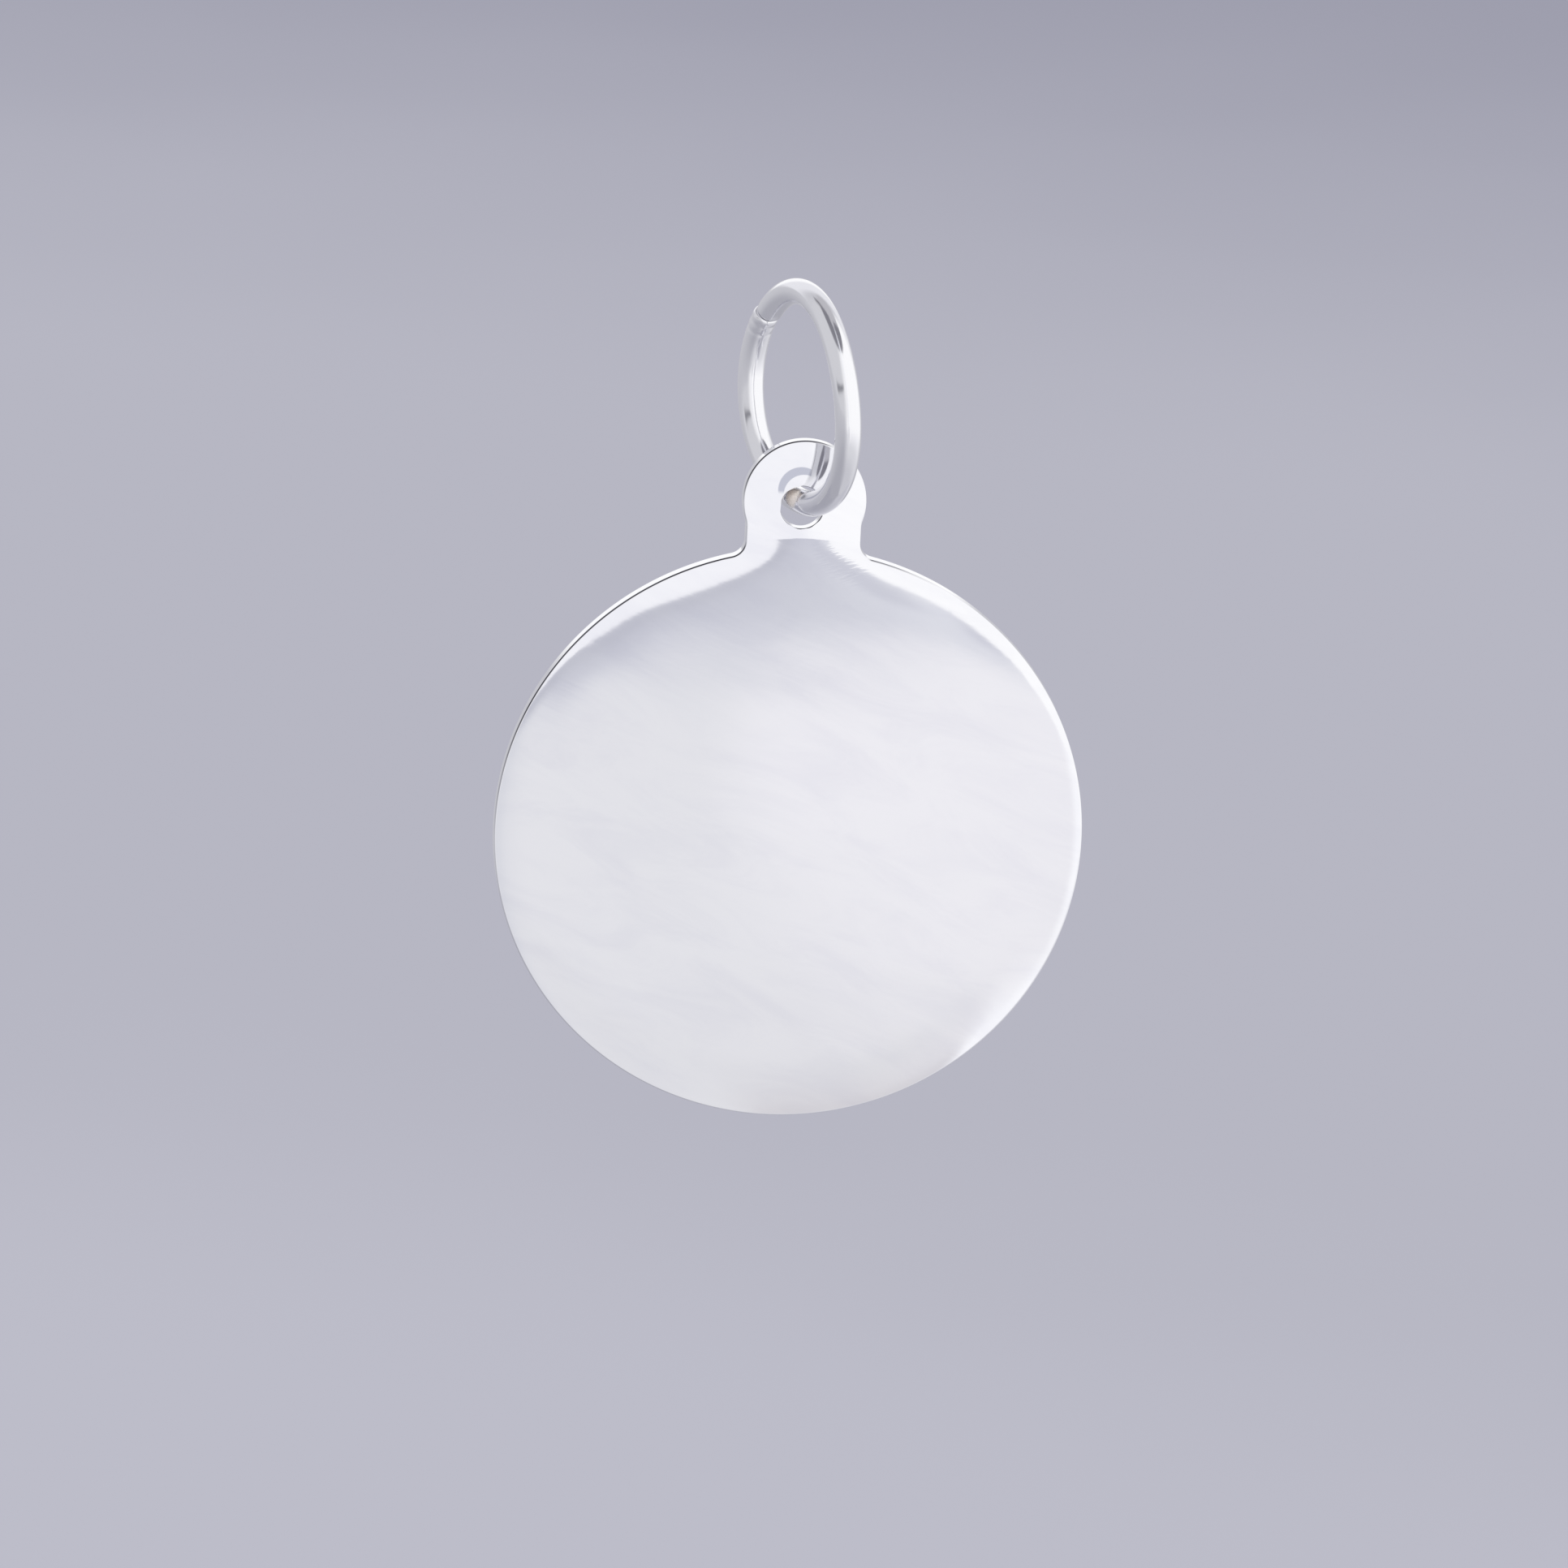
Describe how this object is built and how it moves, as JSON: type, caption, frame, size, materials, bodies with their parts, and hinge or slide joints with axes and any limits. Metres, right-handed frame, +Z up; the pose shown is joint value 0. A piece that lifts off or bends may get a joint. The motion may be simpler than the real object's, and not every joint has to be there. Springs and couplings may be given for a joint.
{
  "type": "disc pendant",
  "caption": "Blank round tag of mirror-polished silver sheet with a pierced ear, hanging from a round-wire jump ring.",
  "frame": {"origin": "highest point of the jump ring's inside, where a chain carries the pendant", "axes": "+Z up; the disc's front face looks along -Y; +X is to the right seen from the front"},
  "size_m": [0.018, 0.0068, 0.0263],
  "materials": {
    "polished_sheet": "mirror-polished sterling silver sheet, edges softened by buffing",
    "polished_wire": "polished sterling silver wire"
  },
  "bodies": {
    "ring": {"jump_ring": "polished_wire"},
    "tag": {"pendant_disc": "polished_sheet"}
  },
  "joints": [
    {"name": "tag_swing", "type": "hinge", "parent": "ring", "child": "tag", "pos_m": [0, 0, -0.00605], "axis": [0.3811, -0.9245, 0], "range_deg": [-115, 115]}
  ]
}
